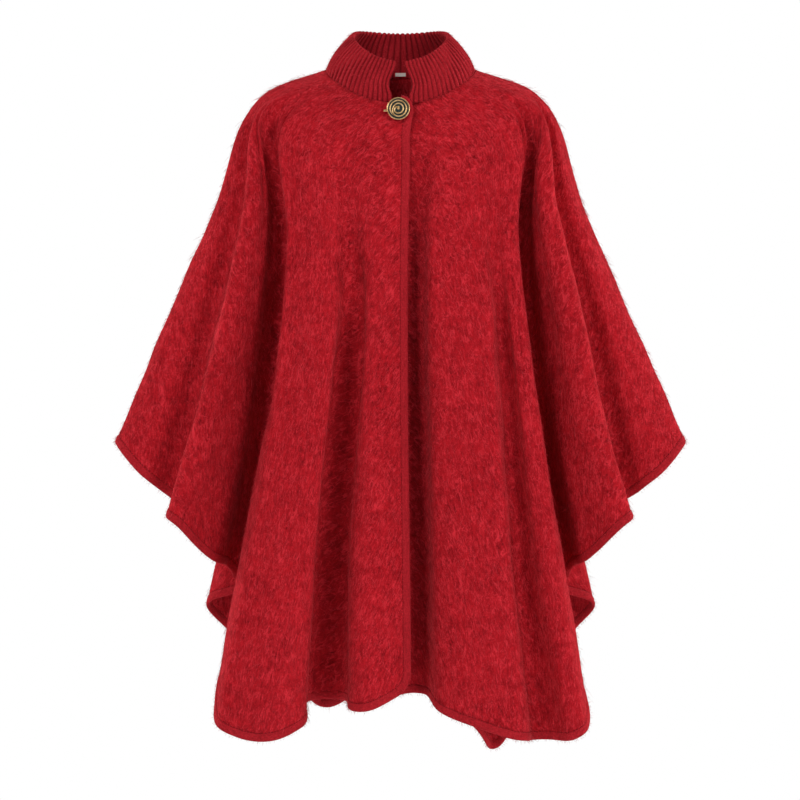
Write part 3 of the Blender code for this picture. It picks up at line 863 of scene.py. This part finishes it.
class Look(Tree):
    """A material's tree, with the fixed sockets of its shader set by name."""

    def __init__(self, name, roughness, metallic=0.0, **fixed):
        self.material = bpy.data.materials.new(name)
        self.material.use_nodes = True
        super().__init__(self.material.node_tree)
        self.shader = self.nodes["Principled BSDF"]
        for key, value in {"Roughness": roughness, "Metallic": metallic, **fixed}.items():
            self.shader.inputs[key.replace("_", " ")].default_value = value

    def feed(self, socket, value):
        self.links.new(value.socket, self.shader.inputs[socket])

    def toned(self, share, dark, full, pale, most=1.0, more=0.0):
        """Dark to full colour over most of a share, then towards the pale tone, with more of it added."""
        low = self.mix(share.stretch(0.0, PALE_FROM), dark, full)
        return self.mix(share.stretch(PALE_FROM, 1.0) * most + more, low, pale)

    def finished(self, colour, relief=None, strength=0.5, depth=0.0):
        """The material with this colour and, where a relief is given, its bumps."""
        self.feed("Base Color", colour)
        if relief is not None:
            values = {"Strength": strength, "Distance": depth, "Height": relief}
            self.feed("Normal", self.node("ShaderNodeBump", {}, values))
        return self.material


def rgb(red, green, blue):
    return (red, green, blue, 1.0)


# Loose fibres drawn on the cloth: for each layer, its lean from straight down in radians, how many it has to a
# metre across and along the nap, and how thin they are
HAIR_LAYERS = [
    (-0.55, 230, 40, 30), (0.10, 190, 32, 32), (0.62, 260, 44, 28), (1.20, 170, 60, 34), (-1.0, 150, 70, 36),
]


def wool_look(name, sheen, sheen_roughness, gloss):
    """Matt wool with a red sheen."""
    return Look(
        name, 1.0, Sheen_Weight=sheen, Sheen_Roughness=sheen_roughness, Sheen_Tint=rgb(1.0, 0.18, 0.2),
        Specular_IOR_Level=gloss,
    )


def hair_lines(look, flat, solid):
    """Fine curly lines where loose fibres lie on the cloth, each layer broken into short lengths."""
    lines = 0.0
    for index, (lean, across, along, thin) in enumerate(HAIR_LAYERS):
        where = look.mapped(flat, lean, (across, along, 1), (3.1 * index, 1.7 * index, 0))
        line = (1.0 - look.noise(where, 1.0, 2.0, 0.45, 0.9).from_half() * thin).clipped()
        there = look.noise(look.mapped(solid, 0.0, (1, 1, 1), (index, 2.0, 0)), 75.0, 2.0, 0.5)
        lines = line * there.stretch(0.44, 0.60) + lines
    return lines.clipped()


def brushed_wool():
    """Brushed cloth: curly fibres lie in feathered tufts over a felted, mottled ground."""
    look = wool_look("brushed_wool", 0.16, 0.4, 0.05)
    flat = look.on_cloth()
    solid = look.in_space()
    streaks = []
    for turn, shift in ((-0.5, 0.0), (0.06, 3.0), (0.52, 7.0)):
        where = look.mapped(flat, turn, (330, 62, 1), (shift, shift, 0))
        streaks.append(look.noise(where, 1.0, 4.0, 0.62, 0.5))
    lean = look.noise(solid, 9.0, 2.0, 0.6)
    to_left = lean.stretch(0.54, 0.42)
    to_right = lean.stretch(0.5, 0.62)
    middle = 1.0 - to_left - to_right
    streak = streaks[0] * to_left + streaks[2] * to_right + streaks[1] * middle.clipped()
    felt = look.noise(solid, 430.0, 3.0, 0.65)
    tufts = look.noise(solid, 95.0, 3.0, 0.6, 0.8)
    mottle = look.noise(solid, 21.0, 3.0, 0.6)
    hairs = hair_lines(look, flat, solid)
    fibre = (streak * 0.45 + tufts * 0.25 + felt * 0.3).stretch(0.36, 0.64)
    fibre = (fibre + (mottle - 0.5) * 0.5).clipped()
    tones = rgb(0.15, 0.0035, 0.0060), rgb(0.42, 0.0095, 0.0160), rgb(0.72, 0.034, 0.050)
    colour = look.toned(fibre, *tones, 0.3, hairs * 0.6)
    relief = streak * 0.7 + tufts * 0.3 + felt * 0.35 + hairs * 0.35
    return look.finished(colour, relief, 0.5, 2.2 * MM)


def nap_fibre():
    """The loose fibres: each its own random tint, with some painted pale as a highlight on fibres that catch
    the light.
    """
    look = wool_look("nap_fibre", 0.05, 0.4, 0.05)
    tint = look.node("ShaderNodeAttribute", {"attribute_name": "tint"}, output=2)
    # The pale tone is a painted highlight, given to fibres at random
    tones = rgb(0.24, 0.006, 0.010), rgb(0.46, 0.013, 0.021), rgb(0.72, 0.065, 0.080)
    return look.finished(look.toned(tint, *tones))


def wool_binding():
    """The binding: denser, felted wool with short crosswise streaks."""
    look = wool_look("wool_binding", 0.18, 0.45, 0.06)
    solid = look.in_space()
    streak = look.noise(look.mapped(look.on_cloth(), 0.3, (210, 620, 1)), 1.0, 4.0, 0.6, 0.4)
    felt = look.noise(solid, 420.0, 3.0, 0.65)
    mottle = look.noise(solid, 22.0, 2.0, 0.5)
    fibre = (streak * 0.5 + felt * 0.5).stretch(0.34, 0.68)
    fibre = (fibre + (mottle - 0.5) * 0.4).clipped()
    tones = rgb(0.24, 0.008, 0.012), rgb(0.42, 0.0145, 0.0225), rgb(0.62, 0.045, 0.060)
    return look.finished(look.toned(fibre, *tones, 0.5), streak + felt * 0.6, 0.5, 1.4 * MM)


def rib_knit():
    """Rib knit: rows of small V stitches along each rib, with shade painted darker in the grooves."""
    look = wool_look("rib_knit", 0.2, 0.45, 0.06)
    flat = look.on_cloth()
    solid = look.in_space()
    across = look.node("ShaderNodeSeparateXYZ", {}, [flat])
    up = look.node("ShaderNodeSeparateXYZ", {}, [flat], output=1)
    # Two wales to a rib, each a column of slanted loops
    side = (across * 2.0).maths("PINGPONG", 0.5) * 2.0
    loop = (up / STITCH_RISE + side * 0.9).maths("FRACT").from_half() * 2.0
    stitch = 1.0 - loop * loop
    felt = look.noise(solid, 480.0, 3.0, 0.65)
    mottle = look.noise(solid, 30.0, 2.0, 0.5)
    # Painted shade: the colour is darkened in the grooves between the ribs, where shade falls
    painted_groove_shade = (across.maths("FRACT").from_half() * 2.0).stretch(0.5, 1.0)
    fibre = (felt.stretch(0.3, 0.7) * 0.6 + stitch * 0.25 + mottle * 0.3).clipped()
    fibre = (fibre * (1.0 - painted_groove_shade * 0.85)).clipped()
    tones = rgb(0.11, 0.0034, 0.0054), rgb(0.37, 0.012, 0.019), rgb(0.60, 0.045, 0.060)
    return look.finished(look.toned(fibre, *tones, 0.5), stitch * 0.5 + felt, 0.4, 1.2 * MM)


def seam_thread():
    """Matt dark red thread, twisted."""
    look = Look("seam_thread", 0.9, Specular_IOR_Level=0.1)
    values = {"Vector": look.in_space(), "Scale": 700.0, "Distortion": 1.5}
    twist = look.node("ShaderNodeTexWave", {}, values)
    return look.finished(look.mix(twist, rgb(0.12, 0.004, 0.006), rgb(0.24, 0.008, 0.012)))


def antique_brass():
    """Rubbed brass: warm on the ridges, browned and faintly pitted elsewhere."""
    look = Look("antique_brass", 0.36, 1.0)
    solid = look.in_space()
    cloud = look.noise(solid, 260.0, 4.0, 0.6)
    pits = look.noise(solid, 1500.0, 2.0, 0.5)
    colour = look.mix(cloud.stretch(0.35, 0.7), rgb(0.46, 0.27, 0.10), rgb(0.86, 0.60, 0.32))
    look.feed("Roughness", 0.3 + cloud * 0.25)
    return look.finished(colour, cloud + pits * 0.5, 0.25, 0.3 * MM)


def dark_patina():
    """The button's recessed ground: blackened metal with a green cast."""
    look = Look("dark_patina", 0.5, 0.7)
    cloud = look.noise(look.in_space(), 420.0, 4.0, 0.65)
    colour = look.mix(cloud.stretch(0.3, 0.75), rgb(0.008, 0.011, 0.010), rgb(0.045, 0.066, 0.056))
    look.feed("Roughness", 0.4 + cloud * 0.3)
    return look.finished(colour, cloud, 0.4, 0.4 * MM)


def label_tape():
    """Woven cotton tape: a fine plain weave."""
    look = Look("label_tape", 0.85, Sheen_Weight=0.1, Specular_IOR_Level=0.2)
    solid = look.in_space()
    values = {"Vector": solid, "Scale": 520.0, "Distortion": 0.6}
    warp, weft = [look.node("ShaderNodeTexWave", {"bands_direction": way}, values) for way in "XZ"]
    weave = (warp * weft + look.noise(solid, 120.0, 2.0, 0.5) * 0.4).clipped()
    return look.finished(look.mix(weave, rgb(0.68, 0.62, 0.56), rgb(0.88, 0.83, 0.77)), weave, 0.5, 0.3 * MM)


def pale_floor():
    look = Look("pale_floor", 0.9, Specular_IOR_Level=0.1)
    cloud = look.noise(look.in_space(), 1.5, 2.0, 0.5)
    return look.finished(look.mix(cloud, rgb(0.80, 0.80, 0.80), rgb(0.84, 0.84, 0.84)))


# ---- Fibres and stitches, by Geometry Nodes


def geometry_tree(name, sizes):
    """A tree with a mesh in and out, a shape and material, its named sizes, and a seed."""
    group = bpy.data.node_groups.new(name, "GeometryNodeTree")
    kinds = {"Geometry": "Geometry", "Shape": "Object", "Material": "Material"}
    kinds.update({size: "Float" for size in sizes}, Seed="Int")
    for label, kind in kinds.items():
        group.interface.new_socket(label, in_out="INPUT", socket_type="NodeSocket" + kind)
    group.interface.new_socket("Geometry", in_out="OUTPUT", socket_type="NodeSocketGeometry")
    tree = Tree(group)
    entry = group.nodes.new("NodeGroupInput")
    ports = {socket.name: Value(tree, socket) for socket in entry.outputs if socket.name}
    return group, tree, ports


def grow(tree, ports, points, turn, size):
    """Instances of the given shape on points, each with its own tint, made real and given its material."""
    shape = tree.node("GeometryNodeObjectInfo", {}, {"Object": ports["Shape"]}, output="Geometry")
    values = {"Points": points, "Instance": shape, "Rotation": turn, "Scale": size}
    copies = tree.node("GeometryNodeInstanceOnPoints", {}, values, output="Instances")
    values = {"Geometry": copies, "Name": "tint", "Value": tree.chance(0.0, 1.0, ports["Seed"])}
    settings = {"data_type": "FLOAT", "domain": "INSTANCE"}
    stored = tree.node("GeometryNodeStoreNamedAttribute", settings, values)
    real = tree.node("GeometryNodeRealizeInstances", {}, {"Geometry": stored})
    done = tree.node("GeometryNodeSetMaterial", {}, {"Geometry": real, "Material": ports["Material"]})
    leave = tree.nodes.new("NodeGroupOutput")
    tree.links.new(done.socket, leave.inputs[0])


def nap_tree():
    """Fibres over a cloth, lying along its nap_way and lifted a little off it."""
    sizes = ["Density", "Shortest", "Longest", "Width", "Lift", "Scatter"]
    group, tree, ports = geometry_tree("nap", sizes)
    seed = ports["Seed"]
    spread = tree.nodes.new("GeometryNodeDistributePointsOnFaces")
    spread.distribute_method = "RANDOM"
    tree.links.new(ports["Geometry"].socket, spread.inputs["Mesh"])
    density = tree.attribute("nap_share", "FLOAT") * ports["Density"]
    tree.links.new(density.socket, spread.inputs["Density"])
    tree.links.new(seed.socket, spread.inputs["Seed"])
    points = Value(tree, spread.outputs["Points"])
    normal = Value(tree, spread.outputs["Normal"])
    jitter = tree.chance((-1, -1, -1), (1, 1, 1), seed + 7)
    lift = tree.chance(0.15, 1.0, seed + 11)
    aim = tree.added(tree.attribute("nap_way"), tree.scaled(normal, lift * ports["Lift"]))
    aim = tree.added(aim, tree.scaled(jitter, ports["Scatter"]))
    spin = tree.node("ShaderNodeCombineXYZ", {}, {2: tree.chance(0.0, 2 * pi, seed + 13)})
    start = tree.node("FunctionNodeEulerToRotation", {}, {0: spin})
    settings = {"axis": "Z", "pivot_axis": "AUTO"}
    turn = tree.node("FunctionNodeAlignRotationToVector", settings, {"Rotation": start, "Vector": aim})
    share = tree.chance(0.0, 1.0, seed + 17)
    length = ports["Shortest"] + (ports["Longest"] - ports["Shortest"]) * share * share
    size = tree.node("ShaderNodeCombineXYZ", {}, {0: ports["Width"], 1: ports["Width"], 2: length})
    grow(tree, ports, points, turn, size)
    return group


def stitch_tree():
    """Stitches at a route's points, each along the route's way but for a little unevenness."""
    group, tree, ports = geometry_tree("stitches", ["Length", "Width"])
    points = tree.node("GeometryNodeMeshToPoints", {}, {"Mesh": ports["Geometry"]})
    jitter = tree.chance((-0.12, -0.12, -0.12), (0.12, 0.12, 0.12), ports["Seed"])
    aim = tree.added(tree.attribute("way"), jitter)
    settings = {"axis": "Z", "pivot_axis": "AUTO"}
    turn = tree.node("FunctionNodeAlignRotationToVector", settings, {"Vector": aim})
    size = tree.node("ShaderNodeCombineXYZ", {}, {0: ports["Width"], 1: ports["Width"], 2: ports["Length"]})
    grow(tree, ports, points, turn, size)
    return group


def circle(radius, height, steps):
    return [(radius * cos(2 * pi * i / steps), radius * sin(2 * pi * i / steps), height) for i in range(steps)]


def turned(top, outline, bottom, steps):
    """A turned shape's points and faces: its tip, rings of (radius, height), and its last tip or a flat end."""
    points = [(0.0, 0.0, top)]
    for radius, height in outline:
        points += circle(radius, height, steps)
    ring = len(points) - steps
    faces = []
    for i in range(steps):
        j = (i + 1) % steps
        faces.append((0, 1 + i, 1 + j))
        for a in range(1, ring, steps):
            faces.append((a + i, a + steps + i, a + steps + j, a + j))
        if bottom is not None:
            faces.append((ring + i, ring + steps, ring + j))
    if bottom is None:
        faces.append(tuple(ring + i for i in reversed(range(steps))))
    else:
        points.append((0.0, 0.0, bottom))
    return points, faces


def fibre_shape():
    """A unit fibre: a thin three-sided spindle, bent and tapered to both ends."""
    points, faces = turned(0.0, [(0.5, 0.42)], 1.0, 3)
    bends = (0.0, 3.0, 3.0, 3.0, -1.5)
    made = new_object("fibre_shape", [(x + bend, y, z) for (x, y, z), bend in zip(points, bends)], faces)
    face_outwards(made)
    return made


def stitch_shape():
    """A unit stitch: a plump thread that dives in at both ends."""
    made = new_object("stitch_shape", *turned(-0.5, [(0.38, -0.34), (0.5, 0.0), (0.38, 0.34)], 0.5, 6))
    face_outwards(made)
    return made


def run_tree(name, source, group, values):
    """The tree's result on a copy of the source's mesh, as a plain mesh object."""
    carrier = add_object(name + "_carrier", source.data)
    modifier = carrier.modifiers.new("grow", "NODES")
    modifier.node_group = group
    names = {item.name: item.identifier for item in group.interface.items_tree if item.in_out == "INPUT"}
    for label, value in values.items():
        modifier[names[label]] = value
    graph = bpy.context.evaluated_depsgraph_get()
    mesh = bpy.data.meshes.new_from_object(carrier.evaluated_get(graph), depsgraph=graph)
    mesh.name = name
    bpy.data.objects.remove(carrier, do_unlink=True)
    return add_object(name, mesh)


# ---- Camera, light and floor


def light(name, turn, rise, power):
    """A soft square light, turned round from the front and raised, that faces the middle of the poncho."""
    data = bpy.data.lights.new(name, "AREA")
    data.shape = "SQUARE"
    data.size = LIGHT_SIZE
    data.energy = power
    made = add_object(name, data)
    away = Vector((sin(turn) * cos(rise), -cos(turn) * cos(rise), sin(rise)))
    made.location = Vector(MIDDLE_OF_VIEW) + away * LIGHT_DISTANCE
    made.rotation_euler = away.to_track_quat("Z", "Y").to_euler()


def studio():
    scene = bpy.context.scene
    scene.view_settings.view_transform = "Standard"
    world = bpy.data.worlds.new("studio")
    world.use_nodes = True
    scene.world = world
    tree = Tree(world.node_tree)
    # The camera sees a white room, and the poncho is lit by a dim grey one
    seen = tree.node("ShaderNodeLightPath", output=0)
    tint = tree.mix(seen, rgb(*[AMBIENT] * 3), rgb(1.0, 1.0, 1.0))
    background = world.node_tree.nodes["Background"]
    tree.links.new(tint.socket, background.inputs["Color"])

    data = bpy.data.cameras.new("camera")
    data.lens = CAMERA_LENS
    data.sensor_width = CAMERA_SENSOR
    camera = add_object("camera", data)
    camera.location = CAMERA_PLACE
    camera.rotation_euler = (pi / 2, 0.0, 0.0)
    scene.camera = camera

    for name, turn, rise, power in LIGHTS:
        light(name, radians(turn), radians(rise), power)

    ring = circle(FLOOR_RADIUS, FLOOR_HEIGHT, 96)
    floor = new_object("floor", ring, [tuple(range(96))], pale_floor(), smooth=False)


# ---- The button


def on_button(points):
    """Points given on the button's own axes, in millimetres, moved to its place."""
    facing = np.array([0.0, -cos(radians(BUTTON_TILT)), sin(radians(BUTTON_TILT))])
    right = np.array([1.0, 0.0, 0.0])
    up = np.cross(facing, right)
    points = np.asarray(points, dtype=float) * MM
    return np.array(BUTTON_BACK) + points[:, :1] * right + points[:, 1:2] * up + points[:, 2:] * facing


def button_body(look):
    """The domed ground of the button, with its closed edge and flat back."""
    points, faces = turned(4.0, BUTTON_OUTLINE, 0.0, 72)
    made = new_object("button_ground", on_button(points), faces, look)
    face_outwards(made)
    return made


def swept(line, widths, heights, closed):
    """A flattened bead of the given half widths and heights along a line on the button's face."""
    ways = unit(np.gradient(line, axis=0) if not closed else np.roll(line, -1, 0) - np.roll(line, 1, 0))
    sides = unit(np.cross(ways, [0.0, 0.0, 1.0]))
    sections = []
    for angle in np.linspace(0, 2 * pi, BEAD_SIDES + 1)[:-1]:
        lift = np.zeros_like(line)
        lift[:, 2] = sin(angle) * heights
        sections.append(line + sides * (cos(angle) * widths)[:, None] + lift)
    return np.stack(sections, axis=1)


def button_spiral(look):
    """The raised brass: a rim, and a spiral that winds in from it to a small boss."""
    rim = np.array(circle(RIM_RADIUS, RIM_LEVEL, RIM_SAMPLES))
    ones = np.ones(RIM_SAMPLES)
    rim = swept(rim, RIM_HALF_WIDTH * ones, RIM_RISE * ones, True)

    # Each turn of the spiral is nearly a ring, and steps in to the next from the lower left
    share = np.linspace(0, 1, SPIRAL_SAMPLES)
    wound = SPIRAL_TURNS * share
    radius = SPIRAL_RADIUS - SPIRAL_CLOSING * wound
    for start, span, step in SPIRAL_STEPS:
        radius = radius - step * smooth_step((wound - start) / span)
    angle = SPIRAL_START - wound * 2 * pi
    height = SPIRAL_FOOT + SPIRAL_CLIMB * share
    spiral = np.stack([radius * np.cos(angle), radius * np.sin(angle), height], axis=1)
    taper = smooth_step(share / 0.05) * smooth_step((1 - share) / 0.02) * 0.9 + 0.1
    spiral = swept(spiral, SPIRAL_HALF_WIDTH * taper, taper, False)

    boss, boss_faces = turned(5.5, BOSS_OUTLINE, None, 24)
    shells = [
        (rim.reshape(-1, 3), tube_faces(RIM_SAMPLES, BEAD_SIDES, capped=False, joined=True)),
        (spiral.reshape(-1, 3), tube_faces(SPIRAL_SAMPLES, BEAD_SIDES)),
        (np.array(boss), boss_faces),
    ]
    start = 0
    faces = []
    for points, shell_faces in shells:
        faces += [tuple(start + index for index in face) for face in shell_faces]
        start += len(points)
    made = new_object("button_spiral", on_button(np.concatenate([points for points, _ in shells])), faces, look)

    # Every closed shell faces outwards
    form = bmesh.new()
    form.from_mesh(made.data)
    bmesh.ops.recalc_face_normals(form, faces=form.faces)
    form.to_mesh(made.data)
    form.free()
    return made


# ---- The whole poncho


def stitch_points(piece):
    """Even points beside a piece's bound edges, and the way of the route at each."""
    hand = -1 if piece.edge == piece.last else 1
    spots, normals = route_points(piece, route_pairs(piece))
    ways = np.gradient(spots, axis=0)
    outwards = unit(np.cross(normals, ways) * hand)
    line = spots - outwards * STITCH_INSET + normals * STITCH_PROUD
    run = run_along(line)
    at = np.arange(STITCH_SPACING, run[-1] - STITCH_SPACING, STITCH_SPACING)
    points = np.stack([np.interp(at, run, line[:, axis]) for axis in range(3)], axis=1)
    ways = np.stack([np.interp(at, run, unit(ways)[:, axis]) for axis in range(3)], axis=1)
    return points, ways


def settle(piece, slot, *nodes):
    """Gives a piece its body and hides the solids that it stands for. The slot is not used."""
    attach(piece, ROOT)
    if nodes:
        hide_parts(*nodes)
    return piece


def main():
    studio()
    wool = brushed_wool()
    fibre = nap_fibre()
    trim = wool_binding()
    knit = rib_knit()
    thread = seam_thread()
    brass = antique_brass()
    patina = dark_patina()
    tape = label_tape()

    nap = nap_tree()
    sewing = stitch_tree()
    hair = fibre_shape()
    stitch = stitch_shape()

    def haired(name, source, slot, hairs, seed):
        """Loose hairs over a piece, as a piece of their own."""
        values = {key.capitalize(): value for key, value in hairs._asdict().items()}
        values.update(Shape=hair, Material=fibre, Width=HAIR_WIDTH, Seed=seed)
        return settle(run_tree(name, source, nap, values), slot)

    panels = {
        "front_right": (RIGHT, (0.66, 0.93), 0.387),
        "front_left": (LEFT, (0.70, 0.94), 0.40),
        "back": (MIDDLE, (1.28, 0.97), 0.70),
    }
    seed = 3
    for name, (piece, flat, area) in panels.items():
        cloth_piece = settle(panel("cloth_" + name, piece, wool), "brushed_wool", name)
        edge = settle(binding("rolled_" + name, piece, trim), "wool_binding", "binding_" + name)
        fibres = haired("nap_" + name, cloth_piece, "brushed_wool", NAP, seed)
        fuzz = haired("fuzz_" + name, edge, "wool_binding", BINDING_FUZZ, seed + 1)
        points, ways = stitch_points(piece)
        route = new_object("stitches_" + name + "_route", points, [])
        add_attribute(route, "way", "FLOAT_VECTOR", ways)
        values = dict(Shape=stitch, Material=thread, Length=STITCH_LENGTH, Width=STITCH_WIDTH, Seed=seed)
        seam = settle(run_tree("stitches_" + name, route, sewing, values), "wool_binding")
        bpy.data.objects.remove(route, do_unlink=True)
        seed += 20

    neck = settle(collar("ribbed_collar", knit), "rib_knit", "collar")
    neck_fuzz = haired("fuzz_collar", neck, "rib_knit", COLLAR_FUZZ, 71)

    settle(button_body(patina), "antique_brass", "button")
    settle(button_spiral(brass), "antique_brass", "button")
    for name, look in (("button_shank", brass), ("button_bar", brass), ("neck_label", tape)):
        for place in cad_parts[name].material_slots:
            place.material = look

    for shape in (hair, stitch):
        bpy.data.objects.remove(shape, do_unlink=True)


main()
